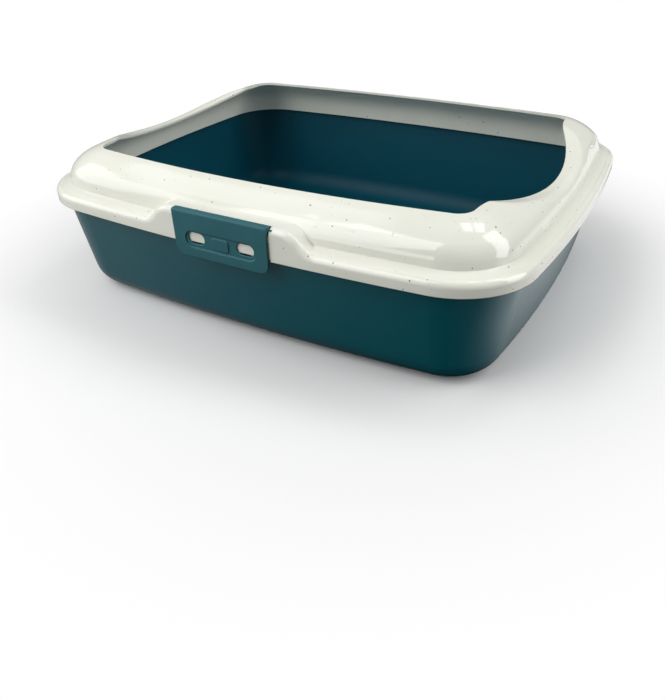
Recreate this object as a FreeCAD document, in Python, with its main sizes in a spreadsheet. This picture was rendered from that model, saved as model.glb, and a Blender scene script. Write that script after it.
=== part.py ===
"""Litter tray with a lift-off moulded rim and two swing clips, as a parametric document."""
import FreeCAD, Part
import math
import os
import Sketcher

V = FreeCAD.Vector

doc = FreeCAD.newDocument("litter_tray")
sheet = doc.addObject("Spreadsheet::Sheet", "sizes")


class Size:
    """A length that carries its number and the sheet expression it comes from."""

    def __init__(self, value, text):
        self.value = value
        self.text = text

    def __add__(self, other):
        return Size(self.value + other.value, f"({self.text} + {other.text})")

    def __sub__(self, other):
        return Size(self.value - other.value, f"({self.text} - {other.text})")

    def __mul__(self, other):
        return Size(self.value * other.value, f"({self.text} * {other.text})")

    def __truediv__(self, other):
        return Size(self.value / other.value, f"({self.text} / {other.text})")

    def __neg__(self):
        return Size(-self.value, f"(-{self.text})")


def plain(value):
    return Size(float(value), repr(float(value)))


ZERO = plain(0)
TWO = plain(2)
PICK = 0.01
row = 0


def size(alias, value):
    """Write one driving dimension to the sheet and return it."""
    global row
    row += 1
    sheet.set(f"A{row}", alias)
    sheet.set(f"B{row}", str(value))
    sheet.setAlias(f"B{row}", alias)
    return Size(float(value), f"sizes.{alias}")


# Plan of the rim's outside: four bowed sides and four corner arcs.
half_length = size("half_length", 250.0)
half_width = size("half_width", 201.5)
long_side_radius = size("long_side_radius", 2350.0)
short_side_radius = size("short_side_radius", 1320.0)
corner_radius = size("corner_radius", 69.5)

# Tray: basin wall, foot rounding and the turned-down flange round its top.
skirt_bottom = size("skirt_bottom", 96.0)
tray_wall = size("tray_wall", 2.4)
wall_inset_top = size("wall_inset_top", 9.1)
wall_inset_foot = size("wall_inset_foot", 24.0)
foot_radius = size("foot_radius", 26.1)
flange_inset = size("flange_inset", 4.5)
flange_lip = size("flange_lip", 2.2)
flange_round = size("flange_round", 1.2)
lip_drop = size("lip_drop", 0.2)
floor_overlap = size("floor_overlap", 1.0)

# Rim: skirt, ledge and dome, and the inner skirt that hangs inside the tray.
rim_wall = size("rim_wall", 2.4)
skirt_height = size("skirt_height", 12.4)
ledge_width = size("ledge_width", 15.1)
ledge_flat = size("ledge_flat", 6.2)
ledge_rise = size("ledge_rise", 2.5)
dome_base_radius = size("dome_base_radius", 22.0)
crest_corner = size("crest_corner", 11.4)
dome_rise = size("dome_rise", 29.5)
inner_skirt_low = size("inner_skirt_low", 2.8)
edge_round = size("edge_round", 5.4)
skirt_round = size("skirt_round", 0.8)
rest_gap = size("rest_gap", 0.3)
cut_over = size("cut_over", 5.0)

# Opening of the rim: bowed long sides, tight corners and a scoop in each short side.
opening_before_crest = size("opening_before_crest", 10.6)
opening_long_radius = size("opening_long_radius", 1480.0)
opening_corner = size("opening_corner", 14.8)
opening_corner_step = size("opening_corner_step", 16.7)
horn_radius = size("horn_radius", 73.0)
scoop_reach = size("scoop_reach", 17.3)
scoop_side_step = size("scoop_side_step", 41.4)
scoop_depth = size("scoop_depth", 21.6)
scoop_low = size("scoop_low", 28.8)
scoop_rise = size("scoop_rise", 13.3)
scoop_over = size("scoop_over", 30.0)
scoop_round = size("scoop_round", 9.0)

# Raised pad in the middle of each long side, where a clip sits.
pad_rise = size("pad_rise", 28.5)
pad_half_top = size("pad_half_top", 56.5)
pad_half_foot = size("pad_half_foot", 90.0)

# Clip: plate, hinge barrel, pins, hooks and the panel on its face.
clip_half = size("clip_half", 47.5)
clip_side_gap = size("clip_side_gap", 1.0)
clip_plate = size("clip_plate", 2.4)
clip_drop = size("clip_drop", 11.0)
clip_round = size("clip_round", 2.0)
clip_corner = size("clip_corner", 8.5)
clip_proud = size("clip_proud", 2.0)
clip_gap = size("clip_gap", 0.3)
barrel_radius = size("barrel_radius", 4.2)
pivot_back = size("pivot_back", 3.2)
pivot_rise = size("pivot_rise", 25.8)
pin_radius = size("pin_radius", 1.6)
pin_gap = size("pin_gap", 0.05)
pin_length = size("pin_length", 2.9)
socket_depth = size("socket_depth", 2.3)
hook_low = size("hook_low", 0.6)
hook_reach = size("hook_reach", 5.7)
hook_tip = size("hook_tip", 1.0)
hook_foot = size("hook_foot", 4.0)
hook_middle = size("hook_middle", 25.0)
hook_width = size("hook_width", 15.0)
panel_half = size("panel_half", 36.0)
panel_radius = size("panel_radius", 7.6)
panel_middle = size("panel_middle", 5.2)
panel_depth = size("panel_depth", 1.1)
slot_outer = size("slot_outer", 33.8)
slot_inner = size("slot_inner", 16.4)
slot_radius = size("slot_radius", 5.2)
slot_middle = size("slot_middle", 6.3)
plaque_half_length = size("plaque_half_length", 8.5)
plaque_half_height = size("plaque_half_height", 5.3)
plaque_round = size("plaque_round", 2.5)
plaque_rise = size("plaque_rise", 0.9)
wall_notch = size("wall_notch", 2.2)

ledge_top = skirt_bottom + skirt_height
dome_foot = ledge_top + ledge_rise
dome_reach = corner_radius - ledge_width - crest_corner
crest_inset = ledge_width + dome_reach
opening_half_width = half_width - crest_inset + opening_before_crest
opening_corner_x = half_length - crest_inset - opening_corner_step
scoop_half_length = half_length - ledge_width - scoop_reach
scoop_half_width = half_width - crest_inset - scoop_side_step
scoop_plan_radius = (scoop_half_width * scoop_half_width + scoop_depth * scoop_depth) / (TWO * scoop_depth)
scoop_dip_radius = (scoop_half_width * scoop_half_width + scoop_rise * scoop_rise) / (TWO * scoop_rise)
flange_top = ledge_top - rim_wall - rest_gap
pad_top = skirt_bottom + pad_rise
pivot_y = pivot_back - half_width
pivot_z = skirt_bottom + pivot_rise
plate_front = -(half_width + clip_proud)
plate_rear = plate_front + clip_plate
recess_floor = plate_rear + clip_gap
recess_half = clip_half + clip_side_gap


def plane(body, role):
    for item in body.Origin.OriginFeatures:
        if item.Role == role:
            return item
    raise ValueError(role)


def new_body(name):
    body = doc.addObject("PartDesign::Body", name)
    body.Label = name
    return body


def new_sketch(body, name, role, shift=None):
    """Sketch on one of the body's own origin planes, moved along its normal by shift."""
    sketch = body.newObject("Sketcher::SketchObject", name)
    sketch.AttachmentSupport = (plane(body, role), [""])
    sketch.MapMode = "FlatFace"
    if shift is not None:
        sketch.setExpression("AttachmentOffset.Base.z", shift.text)
    return sketch


def drive(sketch, kind, *args):
    """Add a dimension whose last argument is a Size and bind it to the sheet."""
    length = args[-1]
    index = sketch.addConstraint(Sketcher.Constraint(kind, *args[:-1], length.value))
    sketch.setExpression(f"Constraints[{index}]", length.text)


def place(sketch, geo, pos, across, up):
    drive(sketch, "DistanceX", geo, pos, across)
    drive(sketch, "DistanceY", geo, pos, up)


def join(sketch, kind, *args):
    sketch.addConstraint(Sketcher.Constraint(kind, *args))


def line(sketch, start, end):
    return sketch.addGeometry(Part.LineSegment(V(*start, 0), V(*end, 0)), False)


def arc(sketch, middle, radius, start, end):
    """Arc that runs counter-clockwise from angle start to angle end."""
    circle = Part.Circle(V(*middle, 0), V(0, 0, 1), radius)
    return sketch.addGeometry(Part.ArcOfCircle(circle, start, end), False)


def bowed_outline(sketch, half_x, half_y, long_radius, short_radius, corner):
    """Closed outline of eight tangent arcs: four bowed sides and four corners."""
    back = long_radius.value - half_y.value
    side = short_radius.value - half_x.value
    # Centre of the corner arc, tangent inside both side arcs.
    reach_long = long_radius.value - corner.value
    reach_short = short_radius.value - corner.value
    gap = math.hypot(side, back)
    along = (reach_long ** 2 - reach_short ** 2 + gap ** 2) / (2 * gap)
    across = math.sqrt(reach_long ** 2 - along ** 2)
    mid_x = (back * across - side * along) / gap
    mid_y = (back * along + side * across) / gap - back
    steep = math.atan2(mid_y + back, mid_x)
    shallow = math.atan2(mid_y, mid_x + side)
    half_turn = math.pi
    spots = [
        ((-side, 0.0), short_radius, -shallow, shallow),
        ((mid_x, mid_y), corner, shallow, steep),
        ((0.0, -back), long_radius, steep, half_turn - steep),
        ((-mid_x, mid_y), corner, half_turn - steep, half_turn - shallow),
        ((side, 0.0), short_radius, half_turn - shallow, half_turn + shallow),
        ((-mid_x, -mid_y), corner, half_turn + shallow, half_turn + steep),
        ((0.0, back), long_radius, half_turn + steep, 2 * half_turn - steep),
        ((mid_x, -mid_y), corner, 2 * half_turn - steep, 2 * half_turn - shallow),
    ]
    arcs = [arc(sketch, middle, radius.value, start, end) for middle, radius, start, end in spots]
    for step, geo in enumerate(arcs):
        join(sketch, "Tangent", geo, 2, arcs[(step + 1) % 8], 1)
        drive(sketch, "Radius", geo, spots[step][1])
    place(sketch, arcs[0], 3, half_x - short_radius, ZERO)
    place(sketch, arcs[2], 3, ZERO, half_y - long_radius)
    place(sketch, arcs[4], 3, short_radius - half_x, ZERO)
    place(sketch, arcs[6], 3, ZERO, long_radius - half_y)


def rim_outline(sketch, inset):
    """The rim's outside plan, moved inward by inset."""
    bowed_outline(sketch, half_length - inset, half_width - inset, long_side_radius - inset,
                  short_side_radius - inset, corner_radius - inset)


def polygon(sketch, corners):
    """Closed polygon through corners (across, up, radius or None), rounded where a radius is given."""
    count = len(corners)
    spots = [V(across.value, up.value, 0) for across, up, radius in corners]
    ends = []
    for step, (across, up, radius) in enumerate(corners):
        spot = spots[step]
        to_last = (spots[step - 1] - spot).normalize()
        to_next = (spots[(step + 1) % count] - spot).normalize()
        half = math.acos(max(-1.0, min(1.0, to_last.dot(to_next)))) / 2
        cut = radius.value / math.tan(half) if radius else 0.0
        crest = spot
        if radius:
            crest = spot + (to_last + to_next).normalize() * radius.value * (1 / math.sin(half) - 1)
        ends.append((spot + to_last * cut, crest, spot + to_next * cut))
    lines = []
    for step in range(count):
        segment = Part.LineSegment(ends[step][2], ends[(step + 1) % count][0])
        lines.append(sketch.addGeometry(segment, False))
    for step, (across, up, radius) in enumerate(corners):
        before, after = lines[step - 1], lines[step]
        if not radius:
            join(sketch, "Coincident", before, 2, after, 1)
            place(sketch, after, 1, across, up)
            continue
        enter, crest, leave = ends[step]
        bend = sketch.addGeometry(Part.Arc(enter, crest, leave), False)
        left = (spots[step] - enter).cross(leave - spots[step]).z > 0
        join(sketch, "Tangent", before, 2, bend, 1 if left else 2)
        join(sketch, "Tangent", bend, 2 if left else 1, after, 1)
        drive(sketch, "Radius", bend, radius)
        mark = sketch.addGeometry(Part.Point(spots[step]), True)
        join(sketch, "PointOnObject", mark, 1, before)
        join(sketch, "PointOnObject", mark, 1, after)
        place(sketch, mark, 1, across, up)


def sweep(body, name, section, spine):
    pipe = body.newObject("PartDesign::AdditivePipe", name)
    pipe.Profile = section
    pipe.Spine = (spine, [f"Edge{step + 1}" for step in range(8)])
    return pipe


def extrude(body, kind, name, sketch, length):
    """Pad or Pocket that runs length in all, half to each side of its sketch."""
    feature = body.newObject(f"PartDesign::{kind}", name)
    feature.Profile = sketch
    feature.SideType = "Symmetric"
    feature.setExpression("Length", length.text)
    return feature


def cut_through(body, name, sketch):
    return extrude(body, "Pocket", name, sketch, half_length * plain(4))


# Tray: flange, wall and foot swept round the plan, then the floor.
tray = new_body("tray")
tray_path = new_sketch(tray, "tray_path", "XY_Plane")
rim_outline(tray_path, ZERO)
tray_section = new_sketch(tray, "tray_section", "XZ_Plane")
slope = (wall_inset_foot - wall_inset_top) / skirt_bottom
top_inset = wall_inset_top - slope * (flange_top - skirt_bottom)
floor_inset = wall_inset_foot + foot_radius
lip_low = skirt_bottom - lip_drop
polygon(tray_section, [
    (half_length - flange_inset, lip_low, None),
    (half_length - flange_inset, flange_top, flange_round),
    (half_length - top_inset - tray_wall, flange_top, flange_round),
    (half_length - wall_inset_foot - tray_wall + slope * tray_wall, tray_wall, foot_radius - tray_wall),
    (half_length - floor_inset, tray_wall, None),
    (half_length - floor_inset, ZERO, None),
    (half_length - wall_inset_foot, ZERO, foot_radius),
    (half_length - top_inset - slope * tray_wall, flange_top - tray_wall, None),
    (half_length - flange_inset - flange_lip, flange_top - tray_wall, None),
    (half_length - flange_inset - flange_lip, lip_low, None),
])
sweep(tray, "tray_wall_sweep", tray_section, tray_path)
floor_plan = new_sketch(tray, "floor_plan", "XY_Plane")
rim_outline(floor_plan, floor_inset - floor_overlap)
floor = tray.newObject("PartDesign::Pad", "tray_floor")
floor.Profile = floor_plan
floor.setExpression("Length", tray_wall.text)


def dome_arcs(sketch, inset):
    """Two tangent arcs of the dome's side and crest, inset from the outside; returns both arcs."""
    foot_x = half_length - ledge_width - inset
    crest_x = half_length - crest_inset
    crest_z = dome_foot + dome_rise - inset
    radius = dome_base_radius - inset
    run = dome_reach.value - dome_base_radius.value
    rise = dome_rise.value - dome_base_radius.value
    crest_radius = (run ** 2 + rise ** 2) / (2 * rise) + radius.value
    side_mid = (foot_x.value - radius.value, dome_foot.value)
    crest_mid = (crest_x.value, crest_z.value - crest_radius)
    turn = math.atan2(side_mid[1] - crest_mid[1], side_mid[0] - crest_mid[0])
    side = arc(sketch, side_mid, radius.value, 0.0, turn)
    crest = arc(sketch, crest_mid, crest_radius, turn, math.pi / 2)
    place(sketch, side, 1, foot_x, dome_foot)
    drive(sketch, "DistanceY", side, 3, dome_foot)
    drive(sketch, "Radius", side, radius)
    join(sketch, "Tangent", side, 2, crest, 1)
    place(sketch, crest, 2, crest_x, crest_z)
    drive(sketch, "DistanceX", crest, 3, crest_x)
    return side, crest


def dome_section(sketch, inset, corners):
    """Closed section: straight lines through corners, then the dome's two arcs back to the first."""
    side, crest = dome_arcs(sketch, inset)
    first = sketch.Geometry[side].StartPoint
    last = sketch.Geometry[crest].EndPoint
    spots = [(last.x, last.y)] + [(across.value, up.value) for across, up in corners] + [(first.x, first.y)]
    lines = [line(sketch, spots[step], spots[step + 1]) for step in range(len(spots) - 1)]
    join(sketch, "Coincident", crest, 2, lines[0], 1)
    for step, (across, up) in enumerate(corners):
        join(sketch, "Coincident", lines[step], 2, lines[step + 1], 1)
        place(sketch, lines[step], 2, across, up)
    join(sketch, "Coincident", lines[-1], 2, side, 1)


def pad_profile(sketch, inset):
    """Raised pad seen from the front, with S-curved ends that leave the ledge and reach its top."""
    run = pad_half_foot - pad_half_top
    rise = pad_rise - skirt_height
    bend = (run * run + rise * rise) / (plain(4) * rise)
    top = pad_top - inset
    foot = ledge_top - inset
    low = skirt_bottom - inset
    top_radius = bend - inset
    foot_radius_here = bend + inset
    lean = math.asin(run.value / (2 * bend.value))
    for_top = math.pi / 2
    side = pad_half_top.value
    far = pad_half_foot.value
    geo = [
        line(sketch, (side, top.value), (-side, top.value)),
        arc(sketch, (-side, top.value - top_radius.value), top_radius.value, for_top, for_top + lean),
        arc(sketch, (-far, foot.value + foot_radius_here.value), foot_radius_here.value,
            -for_top, lean - for_top),
        line(sketch, (-far, foot.value), (-far, low.value)),
        line(sketch, (-far, low.value), (far, low.value)),
        line(sketch, (far, low.value), (far, foot.value)),
        arc(sketch, (far, foot.value + foot_radius_here.value), foot_radius_here.value,
            -for_top - lean, -for_top),
        arc(sketch, (side, top.value - top_radius.value), top_radius.value, for_top - lean, for_top),
    ]
    place(sketch, geo[0], 1, pad_half_top, top)
    place(sketch, geo[0], 2, -pad_half_top, top)
    join(sketch, "Tangent", geo[0], 2, geo[1], 1)
    drive(sketch, "Radius", geo[1], top_radius)
    join(sketch, "Tangent", geo[1], 2, geo[2], 2)
    place(sketch, geo[2], 1, -pad_half_foot, foot)
    drive(sketch, "DistanceX", geo[2], 3, -pad_half_foot)
    join(sketch, "Coincident", geo[2], 1, geo[3], 1)
    join(sketch, "Coincident", geo[3], 2, geo[4], 1)
    place(sketch, geo[4], 1, -pad_half_foot, low)
    join(sketch, "Coincident", geo[4], 2, geo[5], 1)
    place(sketch, geo[4], 2, pad_half_foot, low)
    join(sketch, "Coincident", geo[5], 2, geo[6], 2)
    place(sketch, geo[6], 2, pad_half_foot, foot)
    drive(sketch, "DistanceX", geo[6], 3, pad_half_foot)
    join(sketch, "Tangent", geo[7], 1, geo[6], 1)
    join(sketch, "Tangent", geo[7], 2, geo[0], 1)
    drive(sketch, "Radius", geo[7], top_radius)


def outside_of(sketch, inset):
    """Everything outside the rim's plan, inset, out to a rectangle well clear of it."""
    far_x = half_length * TWO
    far_y = half_width * TWO
    rim_outline(sketch, inset)
    polygon(sketch, [
        (far_x, far_y, None),
        (-far_x, far_y, None),
        (-far_x, -far_y, None),
        (far_x, -far_y, None),
    ])


def scoop_dip(sketch, inset):
    """The space above a scoop's dipping edge, seen along the long side."""
    low = skirt_bottom + scoop_low
    radius = scoop_dip_radius + inset
    middle = low + scoop_dip_radius
    span = scoop_half_width + scoop_over
    half = math.asin(span.value / radius.value)
    edge_z = middle.value - radius.value * math.cos(half)
    dip = arc(sketch, (0.0, middle.value), radius.value, -math.pi / 2 - half, -math.pi / 2 + half)
    roof = (span.value, middle.value)
    right = line(sketch, (span.value, edge_z), roof)
    top = line(sketch, roof, (-span.value, middle.value))
    left = line(sketch, (-span.value, middle.value), (-span.value, edge_z))
    place(sketch, dip, 3, ZERO, middle)
    drive(sketch, "Radius", dip, radius)
    join(sketch, "Coincident", dip, 2, right, 1)
    join(sketch, "Coincident", right, 2, top, 1)
    join(sketch, "Coincident", top, 2, left, 1)
    join(sketch, "Coincident", left, 2, dip, 1)
    drive(sketch, "DistanceX", dip, 2, span)
    drive(sketch, "DistanceX", dip, 1, -span)
    place(sketch, top, 1, span, middle)
    place(sketch, top, 2, -span, middle)


def clip_recess(sketch, grow):
    """The space a clip swings in at the front and at the rear, grown by grow."""
    for side in (1, -1):
        turn = plain(side)
        back = pivot_y + barrel_radius + clip_gap + grow
        wall_y = recess_floor + grow
        radius = barrel_radius + clip_gap + grow
        out_y = pivot_y - half_width / TWO
        low = skirt_bottom - cut_over - cut_over
        high = pad_top + cut_over
        drop = math.sqrt(radius.value ** 2 - (wall_y.value - pivot_y.value) ** 2)
        meet = pivot_z.value - drop
        start = math.atan2(-drop, wall_y.value - pivot_y.value)
        if side > 0:
            bend = arc(sketch, (pivot_y.value, pivot_z.value), radius.value, start, 0.0)
        else:
            bend = arc(sketch, (-pivot_y.value, pivot_z.value), radius.value, math.pi, math.pi - start)
        deep, level = (1, 2) if side > 0 else (2, 1)
        ys = [side * y.value for y in (wall_y, wall_y, out_y, out_y, back, back)]
        zs = [meet, low.value, low.value, high.value, high.value, pivot_z.value]
        walls = [line(sketch, (ys[step], zs[step]), (ys[step + 1], zs[step + 1])) for step in range(5)]
        place(sketch, bend, 3, turn * pivot_y, pivot_z)
        drive(sketch, "Radius", bend, radius)
        join(sketch, "Coincident", bend, deep, walls[0], 1)
        for step in range(4):
            join(sketch, "Coincident", walls[step], 2, walls[step + 1], 1)
        join(sketch, "Coincident", walls[4], 2, bend, level)
        place(sketch, walls[0], 2, turn * wall_y, low)
        drive(sketch, "DistanceX", walls[0], 1, turn * wall_y)
        place(sketch, walls[1], 2, turn * out_y, low)
        place(sketch, walls[2], 2, turn * out_y, high)
        place(sketch, walls[3], 2, turn * back, high)
        drive(sketch, "DistanceY", walls[4], 2, pivot_z)


# Rim, outer form: skirt, ledge and dome swept round the plan, with the pads on it.
rim_form = new_body("rim_form")
rim_path = new_sketch(rim_form, "rim_path", "XY_Plane")
rim_outline(rim_path, ZERO)
rim_section = new_sketch(rim_form, "rim_section", "XZ_Plane")
dome_section(rim_section, ZERO, [
    (half_length - crest_inset, skirt_bottom),
    (half_length, skirt_bottom),
    (half_length, ledge_top),
    (half_length - ledge_flat, ledge_top),
])
sweep(rim_form, "rim_sweep", rim_section, rim_path)
pad_sketch = new_sketch(rim_form, "pad_sketch", "XZ_Plane")
pad_profile(pad_sketch, ZERO)
extrude(rim_form, "Pad", "clip_pads", pad_sketch, half_width * TWO + cut_over * TWO)
trim_sketch = new_sketch(rim_form, "trim_sketch", "XY_Plane")
outside_of(trim_sketch, ZERO)
trim = cut_through(rim_form, "pad_trim", trim_sketch)
doc.recompute()


def outline_edges(shape, z_low, z_high):
    """Names of the edges that run along the rim's outside plan between two heights."""
    names = []
    plan = rim_path.Shape
    for step, edge in enumerate(shape.Edges):
        spots = [edge.valueAt(edge.FirstParameter + (edge.LastParameter - edge.FirstParameter) * part)
                 for part in (0.1, 0.5, 0.9)]
        if min(spot.z for spot in spots) < z_low or max(spot.z for spot in spots) > z_high:
            continue
        if max(Part.Vertex(spot.x, spot.y, 0).distToShape(plan)[0] for spot in spots) < PICK:
            names.append(f"Edge{step + 1}")
    return names


def round_off(body, name, base, edges, radius):
    fillet = body.newObject("PartDesign::Fillet", name)
    fillet.Base = (base, edges)
    fillet.setExpression("Radius", radius.text)
    doc.recompute()
    return fillet


upper = outline_edges(trim.Shape, ledge_top.value - PICK, pad_top.value + PICK)
top_round = round_off(rim_form, "top_round", trim, upper, edge_round)
lower = outline_edges(top_round.Shape, skirt_bottom.value - PICK, skirt_bottom.value + PICK)
round_off(rim_form, "bottom_round", top_round, lower, skirt_round)


def opening_outline(sketch):
    """Plan of the opening: twelve tangent arcs, with a horn between each corner and its scoop."""
    long_back = opening_long_radius.value - opening_half_width.value
    scoop_mid = scoop_half_length.value - scoop_plan_radius.value
    mid_x = opening_corner_x.value
    mid_y = math.sqrt((opening_long_radius.value - opening_corner.value) ** 2 - mid_x ** 2) - long_back
    # Centre of the horn's arc, which touches the corner arc and the scoop arc from outside.
    step_x = mid_x - scoop_mid
    gap = math.hypot(step_x, mid_y)
    near = opening_corner.value + horn_radius.value
    far = scoop_plan_radius.value + horn_radius.value
    along = (far ** 2 - near ** 2 + gap ** 2) / (2 * gap)
    across = math.sqrt(far ** 2 - along ** 2)
    horn_x = scoop_mid + (along * step_x + across * mid_y) / gap
    horn_y = (along * mid_y - across * step_x) / gap
    steep = math.atan2(mid_y + long_back, mid_x)
    inner = math.atan2(horn_y - mid_y, horn_x - mid_x)
    outer = math.atan2(horn_y, horn_x - scoop_mid)
    half_turn = math.pi
    spots = [
        ((scoop_mid, 0.0), scoop_plan_radius, -outer, outer),
        ((horn_x, horn_y), horn_radius, half_turn + inner, half_turn + outer),
        ((mid_x, mid_y), opening_corner, inner, steep),
        ((0.0, -long_back), opening_long_radius, steep, half_turn - steep),
        ((-mid_x, mid_y), opening_corner, half_turn - steep, half_turn - inner),
        ((-horn_x, horn_y), horn_radius, -outer, -inner),
        ((-scoop_mid, 0.0), scoop_plan_radius, half_turn - outer, half_turn + outer),
        ((-horn_x, -horn_y), horn_radius, inner, outer),
        ((-mid_x, -mid_y), opening_corner, half_turn + inner, half_turn + steep),
        ((0.0, long_back), opening_long_radius, half_turn + steep, 2 * half_turn - steep),
        ((mid_x, -mid_y), opening_corner, -steep, -inner),
        ((horn_x, -horn_y), horn_radius, half_turn - outer, half_turn - inner),
    ]
    arcs = [arc(sketch, middle, radius.value, start, end) for middle, radius, start, end in spots]
    # The horns bend the other way, so the outline runs through them from end to start.
    horns = (1, 5, 7, 11)
    for step, geo in enumerate(arcs):
        after = (step + 1) % len(arcs)
        leave = 1 if step in horns else 2
        enter = 2 if after in horns else 1
        join(sketch, "Tangent", geo, leave, arcs[after], enter)
        drive(sketch, "Radius", geo, spots[step][1])
    place(sketch, arcs[0], 3, scoop_half_length - scoop_plan_radius, ZERO)
    place(sketch, arcs[3], 3, ZERO, opening_half_width - opening_long_radius)
    place(sketch, arcs[6], 3, scoop_plan_radius - scoop_half_length, ZERO)
    place(sketch, arcs[9], 3, ZERO, opening_long_radius - opening_half_width)
    for right_corner in (2, 10):
        drive(sketch, "DistanceX", arcs[right_corner], 3, opening_corner_x)
    for left_corner in (4, 8):
        drive(sketch, "DistanceX", arcs[left_corner], 3, -opening_corner_x)


opening_plan = new_sketch(rim_form, "opening_plan", "XY_Plane")
opening_outline(opening_plan)
cut_through(rim_form, "opening", opening_plan)
dip_sketch = new_sketch(rim_form, "dip_sketch", "YZ_Plane")
scoop_dip(dip_sketch, ZERO)
dips = cut_through(rim_form, "scoop_dips", dip_sketch)
doc.recompute()


def crease_edges(shape):
    """Names of the edges where the dome turns into a scoop's dipping land."""
    lands = [face for face in shape.Faces if isinstance(face.Surface, Part.Cylinder)
             and abs(face.Surface.Radius - scoop_dip_radius.value) < PICK]
    names = []
    for step, edge in enumerate(shape.Edges):
        middle = edge.valueAt((edge.FirstParameter + edge.LastParameter) / 2)
        on_land = any(edge.isSame(side) for face in lands for side in face.Edges)
        if on_land and Part.Vertex(middle.x, middle.y, 0).distToShape(opening_plan.Shape)[0] > PICK:
            names.append(f"Edge{step + 1}")
    return names


round_off(rim_form, "scoop_creases", dips, crease_edges(dips.Shape), scoop_round)
recess_sketch = new_sketch(rim_form, "recess_sketch", "YZ_Plane")
clip_recess(recess_sketch, ZERO)
extrude(rim_form, "Pocket", "clip_recesses", recess_sketch, recess_half * TWO)
notch_sketch = new_sketch(rim_form, "notch_sketch", "YZ_Plane")
for turn in (plain(1), plain(-1)):
    notch_in = turn * (recess_floor + rim_wall + cut_over / TWO)
    notch_out = turn * (recess_floor - rim_wall - cut_over)
    polygon(notch_sketch, [
        (notch_in, skirt_bottom - cut_over, None),
        (notch_out, skirt_bottom - cut_over, None),
        (notch_out, skirt_bottom + wall_notch, None),
        (notch_in, skirt_bottom + wall_notch, None),
    ])
extrude(rim_form, "Pocket", "wall_notches", notch_sketch, recess_half * TWO)

# Rim, channel that fits over the tray's flange, with the hollows of the pads.
channel = new_body("rim_channel")
channel_path = new_sketch(channel, "channel_path", "XY_Plane")
rim_outline(channel_path, ZERO)
channel_section = new_sketch(channel, "channel_section", "XZ_Plane")
channel_low = skirt_bottom - cut_over
polygon(channel_section, [
    (half_length - rim_wall, channel_low, None),
    (half_length - rim_wall, ledge_top - rim_wall, None),
    (half_length - ledge_flat, ledge_top - rim_wall, None),
    (half_length - ledge_width, dome_foot - rim_wall, None),
    (half_length - ledge_width, channel_low, None),
])
sweep(channel, "channel_sweep", channel_section, channel_path)
hollow_sketch = new_sketch(channel, "pad_hollow_sketch", "XZ_Plane")
pad_profile(hollow_sketch, rim_wall)
extrude(channel, "Pad", "pad_hollows", hollow_sketch, half_width * TWO + cut_over * TWO)
outer_trim = new_sketch(channel, "outer_trim", "XY_Plane")
outside_of(outer_trim, rim_wall)
cut_through(channel, "hollow_trim", outer_trim)
inner_trim = new_sketch(channel, "inner_trim", "XY_Plane")
rim_outline(inner_trim, ledge_width)
cut_through(channel, "inside_trim", inner_trim)
keep_sketch = new_sketch(channel, "recess_wall_sketch", "YZ_Plane")
clip_recess(keep_sketch, rim_wall)
extrude(channel, "Pocket", "recess_walls", keep_sketch, (recess_half + rim_wall) * TWO)

# Rim, hollow under the dome, stepped below the inner skirt.
hollow = new_body("rim_hollow")
hollow_path = new_sketch(hollow, "hollow_path", "XY_Plane")
rim_outline(hollow_path, ZERO)
hollow_section = new_sketch(hollow, "hollow_section", "XZ_Plane")
skirt_end = skirt_bottom + inner_skirt_low
dome_section(hollow_section, rim_wall, [
    (half_length - crest_inset, channel_low),
    (half_length - ledge_width, channel_low),
    (half_length - ledge_width, skirt_end),
    (half_length - ledge_width - rim_wall, skirt_end),
])
sweep(hollow, "hollow_sweep", hollow_section, hollow_path)
roof_sketch = new_sketch(hollow, "scoop_roof_sketch", "YZ_Plane")
scoop_dip(roof_sketch, rim_wall)
cut_through(hollow, "scoop_roofs", roof_sketch)


def boolean(kind, name, base, tool):
    result = doc.addObject(f"Part::{kind}", name)
    result.Base = base
    result.Tool = tool
    return result


def socket(name, side):
    """Round sockets for the pins at both ends of a recess, drilled in one run."""
    drill = doc.addObject("Part::Cylinder", name)
    reach = recess_half + socket_depth
    drill.Placement = FreeCAD.Placement(V(0, 0, 0), FreeCAD.Rotation(V(0, 1, 0), 90))
    drill.setExpression("Radius", (pin_radius + pin_gap).text)
    drill.setExpression("Height", (reach * TWO).text)
    drill.setExpression("Placement.Base.x", (-reach).text)
    drill.setExpression("Placement.Base.y", (plain(side) * pivot_y).text)
    drill.setExpression("Placement.Base.z", pivot_z.text)
    return drill


shell = boolean("Cut", "rim_shell", rim_form, channel)
shell = boolean("Cut", "rim_moulding", shell, hollow)
shell = boolean("Cut", "rim_front_sockets", shell, socket("front_sockets", 1))
rim = boolean("Cut", "rim", shell, socket("rear_sockets", -1))


def obround(sketch, left, right, middle, radius):
    """Closed slot shape with round ends between left and right."""
    quarter = math.pi / 2
    near_x = left + radius
    far_x = right - radius
    low = middle.value - radius.value
    high = middle.value + radius.value
    near = arc(sketch, (near_x.value, middle.value), radius.value, quarter, 3 * quarter)
    under = line(sketch, (near_x.value, low), (far_x.value, low))
    far = arc(sketch, (far_x.value, middle.value), radius.value, -quarter, quarter)
    over = line(sketch, (far_x.value, high), (near_x.value, high))
    ring = [near, under, far, over]
    for step, geo in enumerate(ring):
        join(sketch, "Tangent", geo, 2, ring[(step + 1) % 4], 1)
    place(sketch, near, 3, near_x, middle)
    place(sketch, far, 3, far_x, middle)
    drive(sketch, "Radius", near, radius)
    drive(sketch, "Radius", far, radius)


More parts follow.
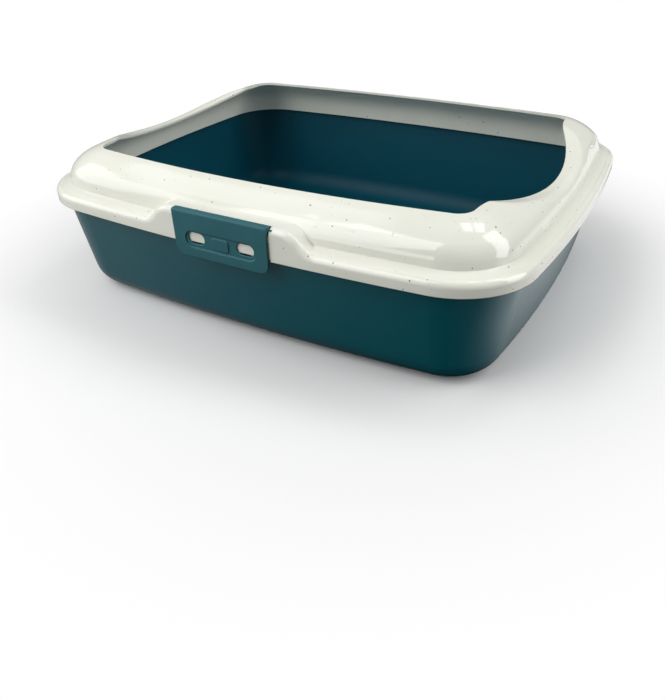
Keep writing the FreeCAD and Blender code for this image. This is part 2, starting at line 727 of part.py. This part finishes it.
def clip_section(sketch):
    """Section of a clip: plate with a rounded top that ends in the hinge barrel."""
    top = pivot_z + barrel_radius
    low = skirt_bottom - clip_drop
    drop = math.sqrt(barrel_radius.value ** 2 - (plate_rear.value - pivot_y.value) ** 2)
    meet = math.atan2(-drop, plate_rear.value - pivot_y.value)
    front_y, rear_y = plate_front.value, plate_rear.value
    bend = clip_round.value
    barrel = arc(sketch, (pivot_y.value, pivot_z.value), barrel_radius.value, meet, math.pi / 2)
    roof = line(sketch, (pivot_y.value, top.value), (front_y + bend, top.value))
    nose = arc(sketch, (front_y + bend, top.value - bend), bend, math.pi / 2, math.pi)
    face = line(sketch, (front_y, top.value - bend), (front_y, low.value))
    foot = line(sketch, (front_y, low.value), (rear_y, low.value))
    rear = line(sketch, (rear_y, low.value), (rear_y, pivot_z.value - drop))
    place(sketch, barrel, 3, pivot_y, pivot_z)
    drive(sketch, "Radius", barrel, barrel_radius)
    join(sketch, "Tangent", barrel, 2, roof, 1)
    join(sketch, "Horizontal", roof)
    join(sketch, "Tangent", roof, 2, nose, 1)
    drive(sketch, "Radius", nose, clip_round)
    join(sketch, "Tangent", nose, 2, face, 1)
    join(sketch, "Coincident", face, 2, foot, 1)
    place(sketch, foot, 1, plate_front, low)
    join(sketch, "Vertical", face)
    join(sketch, "Coincident", foot, 2, rear, 1)
    place(sketch, foot, 2, plate_rear, low)
    join(sketch, "Coincident", rear, 2, barrel, 1)
    drive(sketch, "DistanceX", rear, 2, plate_rear)


def build_clip(name, turn):
    """One clip, drawn at the front and turned about the upright axis to its side."""
    body = new_body(name)
    section = new_sketch(body, f"{name}_section", "YZ_Plane")
    clip_section(section)
    plate = extrude(body, "Pad", f"{name}_plate", section, clip_half * TWO)
    doc.recompute()
    low = skirt_bottom.value - clip_drop.value
    corners = []
    for step, edge in enumerate(plate.Shape.Edges):
        middle = edge.CenterOfMass
        along_y = abs(edge.Vertexes[0].Point.y - edge.Vertexes[-1].Point.y) > clip_plate.value / 2
        if along_y and abs(middle.z - low) < PICK and abs(abs(middle.x) - clip_half.value) < PICK:
            corners.append(f"Edge{step + 1}")
    round_off(body, f"{name}_corners", plate, corners, clip_corner)
    pins = new_sketch(body, f"{name}_pin_sketch", "YZ_Plane")
    pin_middle = V(pivot_y.value, pivot_z.value, 0)
    ring = pins.addGeometry(Part.Circle(pin_middle, V(0, 0, 1), pin_radius.value), False)
    place(pins, ring, 3, pivot_y, pivot_z)
    drive(pins, "Radius", ring, pin_radius)
    extrude(body, "Pad", f"{name}_pins", pins, (clip_half + pin_length) * TWO)
    hook_top = skirt_bottom - hook_low
    for end, shift in (("right", hook_middle), ("left", -hook_middle)):
        hook = new_sketch(body, f"{name}_{end}_hook", "YZ_Plane", shift)
        root = plate_rear - clip_plate / TWO
        polygon(hook, [
            (root, hook_top, None),
            (root, hook_top - hook_foot, None),
            (plate_rear, hook_top - hook_foot, None),
            (plate_rear + hook_reach, hook_top - hook_tip, None),
            (plate_rear + hook_reach, hook_top, None),
        ])
        extrude(body, "Pad", f"{name}_{end}_hook_pad", hook, hook_width)
    # The drawing plane of the face runs through the front of the plate.
    panel = new_sketch(body, f"{name}_panel", "XZ_Plane", -plate_front)
    obround(panel, -panel_half, panel_half, skirt_bottom + panel_middle, panel_radius)
    extrude(body, "Pocket", f"{name}_panel_cut", panel, panel_depth * TWO)
    plaque = new_sketch(body, f"{name}_plaque", "XZ_Plane", -(plate_front + panel_depth))
    middle = skirt_bottom + panel_middle
    polygon(plaque, [
        (-plaque_half_length, middle - plaque_half_height, plaque_round),
        (plaque_half_length, middle - plaque_half_height, plaque_round),
        (plaque_half_length, middle + plaque_half_height, plaque_round),
        (-plaque_half_length, middle + plaque_half_height, plaque_round),
    ])
    extrude(body, "Pad", f"{name}_plaque_pad", plaque, plaque_rise * TWO)
    slots = new_sketch(body, f"{name}_slots", "XZ_Plane", -plate_front)
    for near, far in ((slot_inner, slot_outer), (-slot_outer, -slot_inner)):
        obround(slots, near, far, skirt_bottom + slot_middle, slot_radius)
    extrude(body, "Pocket", f"{name}_slot_cuts", slots, clip_plate * plain(3))
    body.Placement = FreeCAD.Placement(V(0, 0, 0), FreeCAD.Rotation(V(0, 0, 1), turn))
    return body


front_clip = build_clip("front_clip", 0)
rear_clip = build_clip("rear_clip", 180)
doc.recompute()

for item in doc.Objects:
    if "Invalid" in item.State or "Error" in item.State:
        raise RuntimeError(f"{item.Name} failed: {item.State}")
    if item.isDerivedFrom("Sketcher::SketchObject") and not item.FullyConstrained:
        raise RuntimeError(f"{item.Name} is not fully constrained")

nodes = [tray, rim, front_clip, rear_clip]
for node in nodes:
    if node.Shape.isNull() or not node.Shape.isValid() or len(node.Shape.Solids) != 1:
        raise RuntimeError(f"{node.Label} has no single valid solid")

os.makedirs("parts", exist_ok=True)
for node in nodes:
    node.Shape.exportStep(f"parts/{node.Label}.step")
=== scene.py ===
"""Looks of a litter tray: flecked off-white rim, blue-green basin and clips, on a pale studio floor."""
import math

import bpy
from mathutils import Matrix, Vector

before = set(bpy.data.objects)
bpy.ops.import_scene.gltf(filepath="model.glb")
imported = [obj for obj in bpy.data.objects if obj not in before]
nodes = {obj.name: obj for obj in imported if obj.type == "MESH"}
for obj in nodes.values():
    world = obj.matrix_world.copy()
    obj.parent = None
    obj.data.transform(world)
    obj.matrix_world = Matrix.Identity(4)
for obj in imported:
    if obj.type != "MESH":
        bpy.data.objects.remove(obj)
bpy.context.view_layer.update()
scene = bpy.context.scene

# Lengths are in metres, noise scales in cells per metre, colours are linear red, green, blue and alpha.
WHITE = (1.0, 1.0, 1.0, 1.0)
UPWARD = Vector((0.0, 0.0, 1.0))

# All plastics: the span of noise that is spread over a piece's two tones, or over its two roughnesses.
PLASTIC_IOR = 1.5
TONE_SPAN = (0.35, 0.65)
TONE_DETAIL = 3.0
HAZE_SPAN = (0.3, 0.7)
EDGE_SAMPLES = 6

# Rim: off-white with dark and faint flecks.
RIM_TONES = ((0.80, 0.805, 0.715, 1.0), (0.83, 0.835, 0.75, 1.0))
RIM_TONE_SCALE = 14.0
RIM_HAZE = {"scale": 60.0, "detail": 4.0}
RIM_ROUGHNESS = (0.07, 0.11)
RIM_SPECULAR = 0.62
RIM_WAVES = {"scale": 45.0, "detail": 1.0}
RIM_WAVE_HEIGHT = 0.00006
RIM_EDGE_RADIUS = 0.0007

# Flecks: at most one per cell of the given spacing; keep is the share of cells that have one.
FAINT_FLECKS = {"spacing": 0.0058, "radius": 0.0005, "keep": 0.75}
FAINT_FLECK_COLOUR = (0.30, 0.29, 0.26, 1.0)
FAINT_FLECK_STRENGTH = 0.45
DARK_FLECKS = {"spacing": 0.0092, "radius": 0.00075, "keep": 0.85}
DARK_FLECK_COLOUR = (0.10, 0.10, 0.09, 1.0)
DARK_FLECK_STRENGTH = 0.85

# Form of each fleck: sizes and wobble as shares of the radius, and the share of its reach that is plain.
FLECK_SMALLEST = 0.55
FLECK_LARGEST = 1.25
FLECK_CORE = 0.72
FLECK_WOBBLE = 0.9
FLECK_WOBBLE_SCALE = 900.0

# Basin: deep blue-green, polished outside and duller inside; the darker inner tones are painted shade
# inside the basin.
TRAY_INNER_SHADED_TONES = ((0.0004, 0.063, 0.098, 1.0), (0.0006, 0.069, 0.106, 1.0))
TRAY_OUTER_TONES = ((0.0006, 0.082, 0.106, 1.0), (0.0008, 0.090, 0.115, 1.0))
TRAY_TONE_SCALE = 9.0
TRAY_HAZE = {"scale": 80.0, "detail": 4.0}
TRAY_INNER_ROUGHNESS = (0.42, 0.50)
TRAY_OUTER_ROUGHNESS = (0.20, 0.26)
TRAY_INNER_SPECULAR = 0.15
TRAY_OUTER_SPECULAR = 0.5
TRAY_WAVES = {"scale": 260.0, "detail": 3.0}
TRAY_WAVE_HEIGHT = 0.00005
TRAY_OUTWARD_LIMIT = 0.01

# Clips: satin blue-green, with lighter upper edges as painted highlight and darker lower ones as painted
# shade.
CLIP_TONES = ((0.020, 0.110, 0.130, 1.0), (0.023, 0.121, 0.142, 1.0))
CLIP_TONE_SCALE = 30.0
CLIP_EDGE_RADIUS = 0.0009
CLIP_EDGE_RISE = (0.05, 0.4)
CLIP_PAINTED_HIGHLIGHT = (0.14, 0.36, 0.39, 1.0)
CLIP_PAINTED_HIGHLIGHT_STRENGTH = 0.85
CLIP_PAINTED_SHADE = (0.004, 0.022, 0.027, 1.0)
CLIP_PAINTED_SHADE_STRENGTH = 0.7
CLIP_HAZE = {"scale": 300.0, "detail": 3.0}
CLIP_ROUGHNESS = (0.48, 0.58)
CLIP_SPECULAR = 0.3
CLIP_GRAIN = {"scale": 1400.0, "detail": 2.0}
CLIP_GRAIN_HEIGHT = 0.00008

# Floor: its colour to the camera, its colour for bounced light, and how far out it fades to white.
FLOOR_SIZE = 12.0
FLOOR_DROP = 0.0002
FLOOR_ROUGHNESS = 0.9
FLOOR_SPECULAR = 0.1
FLOOR_SEEN = (0.86, 0.86, 0.86, 1.0)
FLOOR_BOUNCE = (0.22, 0.22, 0.22, 1.0)
FLOOR_FADE = (0.27, 0.50)

# Floor in mirror rays: painted shadow, a grey that darkens from left to right, and a painted reflection,
# white beside the right end.
PAINTED_SHADOW_X = (-0.12, 0.19)
PAINTED_SHADOW_GREY = (0.40, 0.01)
PAINTED_REFLECTION_X = (0.21, 0.28)
PAINTED_REFLECTION_Y = (-0.20, -0.11)
PAINTED_REFLECTION_FRONT = 0.08

# Surroundings and lamps: the lamps all face one point inside the basin.
WORLD_STRENGTH = 0.22
AIM = Vector((0.0, 0.0, 0.1))
RIGHT_WINDOW_ACROSS = (0.0, -0.94, 0.35)
TOP_PANE_ACROSS = (0.77, 0.49, -0.40)

# Camera at the photograph's place.
CAMERA_PLACE = (0.34442, -0.60327, 0.34539)
CAMERA_AZIMUTH = math.radians(30.92)
CAMERA_ELEVATION = math.radians(33.90)
CAMERA_ROLL = math.radians(-1.92)
SENSOR_WIDTH_MM = 36.0
LONG_SIDE_PIXELS = 700.0
FOCAL_PIXELS = 690.34
SHIFT_PIXELS = -1.51


def add_node(tree, kind, **settings):
    """New shader node with attributes set by name."""
    made = tree.nodes.new(kind)
    for name, value in settings.items():
        setattr(made, name, value)
    return made


def feed(tree, target, source):
    """Link a socket to an input, or set the input to a plain value."""
    if isinstance(source, bpy.types.NodeSocket):
        tree.links.new(source, target)
    else:
        target.default_value = source


def math_node(tree, operation, first, second):
    """Product, comparison or maximum of two numbers."""
    made = add_node(tree, "ShaderNodeMath", operation=operation)
    feed(tree, made.inputs[0], first)
    feed(tree, made.inputs[1], second)
    return made.outputs["Value"]


def vector_node(tree, operation, first, second):
    """Vector maths on two vectors; returns the node, because the output in use differs."""
    made = add_node(tree, "ShaderNodeVectorMath", operation=operation)
    feed(tree, made.inputs[0], first)
    feed(tree, made.inputs[1], second)
    return made


def split(tree, vector):
    """Outputs X, Y and Z of a vector."""
    made = add_node(tree, "ShaderNodeSeparateXYZ")
    feed(tree, made.inputs["Vector"], vector)
    return made.outputs


def remap(tree, value, from_low, from_high, to_low, to_high, smooth=False):
    """Value carried from one span to another, held at the ends."""
    made = add_node(tree, "ShaderNodeMapRange", clamp=True)
    if smooth:
        made.interpolation_type = "SMOOTHSTEP"
    for name, number in (("Value", value), ("From Min", from_low), ("From Max", from_high),
                         ("To Min", to_low), ("To Max", to_high)):
        feed(tree, made.inputs[name], number)
    return made.outputs["Result"]


def mix_colour(tree, factor, first, second):
    """Colour between two colours; inputs 6 and 7 and output 2 are the node's colour sockets."""
    made = add_node(tree, "ShaderNodeMix", data_type="RGBA")
    feed(tree, made.inputs["Factor"], factor)
    feed(tree, made.inputs[6], first)
    feed(tree, made.inputs[7], second)
    return made.outputs[2]


def noise(tree, place, scale, detail):
    """Noise from about 0 to 1."""
    made = add_node(tree, "ShaderNodeTexNoise")
    feed(tree, made.inputs["Vector"], place)
    feed(tree, made.inputs["Scale"], scale)
    feed(tree, made.inputs["Detail"], detail)
    return made.outputs["Fac"]


def drift(tree, place, scale):
    """Slow change of tone over a piece, from 0 to 1."""
    return remap(tree, noise(tree, place, scale, TONE_DETAIL), *TONE_SPAN, 0.0, 1.0)


def new_material(name):
    """Material with its tree, its shader and the piece's own coordinates."""
    made = bpy.data.materials.new(name)
    made.use_nodes = True
    tree = made.node_tree
    shader = tree.nodes["Principled BSDF"]
    place = add_node(tree, "ShaderNodeTexCoord").outputs["Object"]
    return made, tree, shader, place


def bump(tree, shader, height, distance, under=None):
    """Fine waves on a shader's normal, on top of another normal if one is given."""
    made = add_node(tree, "ShaderNodeBump")
    made.inputs["Strength"].default_value = 1.0
    made.inputs["Distance"].default_value = distance
    feed(tree, made.inputs["Height"], height)
    if under is not None:
        feed(tree, made.inputs["Normal"], under)
    feed(tree, shader.inputs["Normal"], made.outputs["Normal"])


def turned_to_piece(tree, direction):
    """World direction in the piece's own axes, so that it stays with the piece when a joint moves."""
    made = add_node(tree, "ShaderNodeVectorTransform", vector_type="NORMAL",
                    convert_from="WORLD", convert_to="OBJECT")
    feed(tree, made.inputs["Vector"], direction)
    return made.outputs["Vector"]


def soft_edge(tree, radius):
    """Normal that rounds off sharp edges by a small radius."""
    made = add_node(tree, "ShaderNodeBevel", samples=EDGE_SAMPLES)
    made.inputs["Radius"].default_value = radius
    return made.outputs["Normal"]


def fleck_mask(tree, place, spacing, radius, keep):
    """Scattered specks: 1 inside a speck. Each cell's speck has its own size, and some cells have none."""
    wobble = add_node(tree, "ShaderNodeTexNoise")
    feed(tree, wobble.inputs["Vector"], place)
    feed(tree, wobble.inputs["Scale"], FLECK_WOBBLE_SCALE)
    shift = add_node(tree, "ShaderNodeVectorMath", operation="SCALE")
    feed(tree, shift.inputs[0], wobble.outputs["Color"])
    feed(tree, shift.inputs["Scale"], radius * FLECK_WOBBLE)
    moved = vector_node(tree, "ADD", place, shift.outputs["Vector"])
    cells = add_node(tree, "ShaderNodeTexVoronoi", feature="F1")
    feed(tree, cells.inputs["Vector"], moved.outputs["Vector"])
    feed(tree, cells.inputs["Scale"], 1.0 / spacing)
    pick = add_node(tree, "ShaderNodeSeparateColor")
    feed(tree, pick.inputs["Color"], cells.outputs["Color"])
    there = math_node(tree, "LESS_THAN", pick.outputs["Red"], keep)
    reach = remap(tree, pick.outputs["Green"], 0.0, 1.0, radius * FLECK_SMALLEST, radius * FLECK_LARGEST)
    reach = math_node(tree, "MULTIPLY", reach, 1.0 / spacing)
    core = math_node(tree, "MULTIPLY", reach, FLECK_CORE)
    spot = remap(tree, cells.outputs["Distance"], core, reach, 1.0, 0.0, smooth=True)
    return math_node(tree, "MULTIPLY", spot, there)


def rim_material():
    """Glossy off-white plastic with two kinds of flecks."""
    made, tree, shader, place = new_material("rim_white")
    base = mix_colour(tree, drift(tree, place, RIM_TONE_SCALE), *RIM_TONES)
    faint = math_node(tree, "MULTIPLY", fleck_mask(tree, place, **FAINT_FLECKS), FAINT_FLECK_STRENGTH)
    base = mix_colour(tree, faint, base, FAINT_FLECK_COLOUR)
    dark = math_node(tree, "MULTIPLY", fleck_mask(tree, place, **DARK_FLECKS), DARK_FLECK_STRENGTH)
    base = mix_colour(tree, dark, base, DARK_FLECK_COLOUR)
    feed(tree, shader.inputs["Base Color"], base)
    haze = noise(tree, place, **RIM_HAZE)
    feed(tree, shader.inputs["Roughness"], remap(tree, haze, *HAZE_SPAN, *RIM_ROUGHNESS))
    shader.inputs["IOR"].default_value = PLASTIC_IOR
    shader.inputs["Specular IOR Level"].default_value = RIM_SPECULAR
    waves = noise(tree, place, **RIM_WAVES)
    bump(tree, shader, waves, RIM_WAVE_HEIGHT, under=soft_edge(tree, RIM_EDGE_RADIUS))
    return made


def outside_mask(tree, place):
    """1 on faces that look away from the piece's upright axis, 0 on the others."""
    level = vector_node(tree, "MULTIPLY", place, (1.0, 1.0, 0.0)).outputs["Vector"]
    normal = add_node(tree, "ShaderNodeNewGeometry").outputs["Normal"]
    facing = vector_node(tree, "DOT_PRODUCT", level, turned_to_piece(tree, normal))
    return math_node(tree, "GREATER_THAN", facing.outputs["Value"], TRAY_OUTWARD_LIMIT)


def tray_material():
    """Deep blue-green plastic, polished outside and duller inside the basin, where the darker base colour
    is painted shade.
    """
    made, tree, shader, place = new_material("tray_blue_green")
    outside = outside_mask(tree, place)
    share = drift(tree, place, TRAY_TONE_SCALE)
    # The inner tones are darker than the outer ones: painted shade on the basin's inside faces.
    shaded_inner = mix_colour(tree, share, *TRAY_INNER_SHADED_TONES)
    outer = mix_colour(tree, share, *TRAY_OUTER_TONES)
    feed(tree, shader.inputs["Base Color"], mix_colour(tree, outside, shaded_inner, outer))
    haze = noise(tree, place, **TRAY_HAZE)
    dull = remap(tree, haze, *HAZE_SPAN, *TRAY_INNER_ROUGHNESS)
    polished = remap(tree, haze, *HAZE_SPAN, *TRAY_OUTER_ROUGHNESS)
    feed(tree, shader.inputs["Roughness"], remap(tree, outside, 0.0, 1.0, dull, polished))
    shader.inputs["IOR"].default_value = PLASTIC_IOR
    specular = remap(tree, outside, 0.0, 1.0, TRAY_INNER_SPECULAR, TRAY_OUTER_SPECULAR)
    feed(tree, shader.inputs["Specular IOR Level"], specular)
    bump(tree, shader, noise(tree, place, **TRAY_WAVES), TRAY_WAVE_HEIGHT)
    return made


def clip_material():
    """Satin blue-green plastic; edges that round upwards are lighter, a painted highlight, and those that
    round down darker, painted shade.
    """
    made, tree, shader, place = new_material("clip_blue_green")
    base = mix_colour(tree, drift(tree, place, CLIP_TONE_SCALE), *CLIP_TONES)
    rounded = soft_edge(tree, CLIP_EDGE_RADIUS)
    face = add_node(tree, "ShaderNodeNewGeometry").outputs["True Normal"]
    lean = vector_node(tree, "SUBTRACT", turned_to_piece(tree, rounded), turned_to_piece(tree, face))
    rise = split(tree, lean.outputs["Vector"])["Z"]
    little, much = CLIP_EDGE_RISE
    # Painted highlight on edges that round upwards and painted shade on edges that round down, standing in
    # for light from above.
    painted_highlight = remap(tree, rise, little, much, 0.0, CLIP_PAINTED_HIGHLIGHT_STRENGTH)
    base = mix_colour(tree, painted_highlight, base, CLIP_PAINTED_HIGHLIGHT)
    painted_shade = remap(tree, rise, -much, -little, CLIP_PAINTED_SHADE_STRENGTH, 0.0)
    base = mix_colour(tree, painted_shade, base, CLIP_PAINTED_SHADE)
    feed(tree, shader.inputs["Base Color"], base)
    haze = noise(tree, place, **CLIP_HAZE)
    feed(tree, shader.inputs["Roughness"], remap(tree, haze, *HAZE_SPAN, *CLIP_ROUGHNESS))
    shader.inputs["IOR"].default_value = PLASTIC_IOR
    shader.inputs["Specular IOR Level"].default_value = CLIP_SPECULAR
    bump(tree, shader, noise(tree, place, **CLIP_GRAIN), CLIP_GRAIN_HEIGHT, under=rounded)
    return made


def dress(name, material):
    """Give a CAD node one material."""
    piece = nodes[name]
    piece.data.materials.clear()
    piece.data.materials.append(material)


def show_blend(tree, output, share, first, second):
    """Send a blend of two shaders to the tree's output node."""
    blend = add_node(tree, "ShaderNodeMixShader")
    feed(tree, blend.inputs["Fac"], share)
    feed(tree, blend.inputs[1], first)
    feed(tree, blend.inputs[2], second)
    feed(tree, tree.nodes[output].inputs["Surface"], blend.outputs["Shader"])


def floor_material():
    """Pale near the part, where it takes the shadow, and plain white to the camera further out."""
    made, tree, shader, place = new_material("studio_floor")
    shader.inputs["Roughness"].default_value = FLOOR_ROUGHNESS
    shader.inputs["Specular IOR Level"].default_value = FLOOR_SPECULAR
    path = add_node(tree, "ShaderNodeLightPath")
    seen = path.outputs["Is Camera Ray"]
    mirrored = path.outputs["Is Glossy Ray"]
    spot = split(tree, place)

    # Painted shadow: to mirror rays the floor is a grey that darkens from left to right.
    painted_shadow_grey = remap(tree, spot["X"], *PAINTED_SHADOW_X, *PAINTED_SHADOW_GREY)
    unseen = mix_colour(tree, mirrored, FLOOR_BOUNCE, painted_shadow_grey)
    feed(tree, shader.inputs["Base Color"], mix_colour(tree, seen, unseen, FLOOR_SEEN))

    away = add_node(tree, "ShaderNodeVectorMath", operation="LENGTH")
    feed(tree, away.inputs[0], place)
    far = remap(tree, away.outputs["Value"], *FLOOR_FADE, 0.0, 1.0, smooth=True)
    # Painted reflection: to mirror rays the floor glows white beside the right end, so the basin's right
    # wall shows a bright reflection.
    beside = remap(tree, spot["X"], *PAINTED_REFLECTION_X, 0.0, 1.0)
    behind = remap(tree, spot["Y"], *PAINTED_REFLECTION_Y, PAINTED_REFLECTION_FRONT, 1.0)
    white_seen = math_node(tree, "MULTIPLY", far, seen)
    painted_reflection = math_node(tree, "MULTIPLY", math_node(tree, "MULTIPLY", beside, behind), mirrored)
    white = math_node(tree, "MAXIMUM", white_seen, painted_reflection)

    glow = add_node(tree, "ShaderNodeEmission")
    glow.inputs["Color"].default_value = WHITE
    glow.inputs["Strength"].default_value = 1.0
    show_blend(tree, "Material Output", white, shader.outputs["BSDF"], glow.outputs["Emission"])
    return made


def studio_world():
    """Soft grey light all round, which the camera sees as plain white."""
    world = bpy.data.worlds.new("studio")
    scene.world = world
    world.use_nodes = True
    tree = world.node_tree
    soft = tree.nodes["Background"]
    bright = add_node(tree, "ShaderNodeBackground")
    for background, strength in ((soft, WORLD_STRENGTH), (bright, 1.0)):
        background.inputs["Color"].default_value = WHITE
        background.inputs["Strength"].default_value = strength
    seen = add_node(tree, "ShaderNodeLightPath").outputs["Is Camera Ray"]
    show_blend(tree, "World Output", seen, soft.outputs["Background"], bright.outputs["Background"])


def stand(name, data, place, across, upward, away):
    """New lamp or camera at a place, with its own X, Y and Z along the three directions."""
    made = bpy.data.objects.new(name, data)
    scene.collection.objects.link(made)
    turn = Matrix((across, upward, away)).transposed()
    made.matrix_world = Matrix.Translation(place) @ turn.to_4x4()
    return made


def soft_box(name, place, width, height, power, across=None):
    """Rectangular area lamp that faces the part; its width runs level, or along the direction across."""
    lamp = bpy.data.lights.new(name, "AREA")
    lamp.shape = "RECTANGLE"
    lamp.size = width
    lamp.size_y = height
    lamp.energy = power
    away = (Vector(place) - AIM).normalized()
    along = Vector(across) if across else UPWARD.cross(away)
    along = (along - away * along.dot(away)).normalized()
    stand(name, lamp, place, along, away.cross(along), away)


def photo_camera():
    """Camera with the photograph's place, turn and focal length."""
    level = math.cos(CAMERA_ELEVATION)
    back = Vector((math.sin(CAMERA_AZIMUTH) * level, -math.cos(CAMERA_AZIMUTH) * level,
                   math.sin(CAMERA_ELEVATION)))
    right = UPWARD.cross(back).normalized()
    up = back.cross(right)
    right_rolled = right * math.cos(CAMERA_ROLL) + up * math.sin(CAMERA_ROLL)
    up_rolled = up * math.cos(CAMERA_ROLL) - right * math.sin(CAMERA_ROLL)
    lens = bpy.data.cameras.new("photo_camera")
    lens.sensor_width = SENSOR_WIDTH_MM
    lens.lens = FOCAL_PIXELS * SENSOR_WIDTH_MM / LONG_SIDE_PIXELS
    lens.shift_y = SHIFT_PIXELS / LONG_SIDE_PIXELS
    return stand("photo_camera", lens, CAMERA_PLACE, right_rolled, up_rolled, back)


# The part's pieces.
dress("rim", rim_material())
dress("tray", tray_material())
clip_look = clip_material()
for clip in ("front_clip", "rear_clip"):
    dress(clip, clip_look)

# The studio.
bpy.ops.mesh.primitive_plane_add(size=FLOOR_SIZE, location=(0.0, 0.0, -FLOOR_DROP))
floor = bpy.context.object
floor.name = "studio_floor"
floor.data.materials.append(floor_material())
studio_world()
soft_box("front_window", place=(-0.42, -0.90, 1.09), width=0.75, height=1.4, power=10.8)
soft_box("front_sill", place=(-0.30, -1.36, 0.36), width=0.55, height=0.34, power=1.5)
soft_box("left_box", place=(-1.20, -0.52, 0.68), width=0.9, height=0.75, power=4.2)
soft_box("high_left_box", place=(-0.74, -0.07, 1.29), width=0.9, height=0.9, power=2.2)
soft_box("right_window", place=(1.02, 0.21, 0.66), width=0.48, height=1.38, power=8.5,
         across=RIGHT_WINDOW_ACROSS)
for pane, pane_place in (("top_pane_left", (0.22, 0.38, 1.40)), ("top_pane_right", (0.42, 0.51, 1.30))):
    soft_box(pane, place=pane_place, width=0.21, height=0.44, power=1.1, across=TOP_PANE_ACROSS)
scene.camera = photo_camera()
scene.view_settings.view_transform = "Standard"
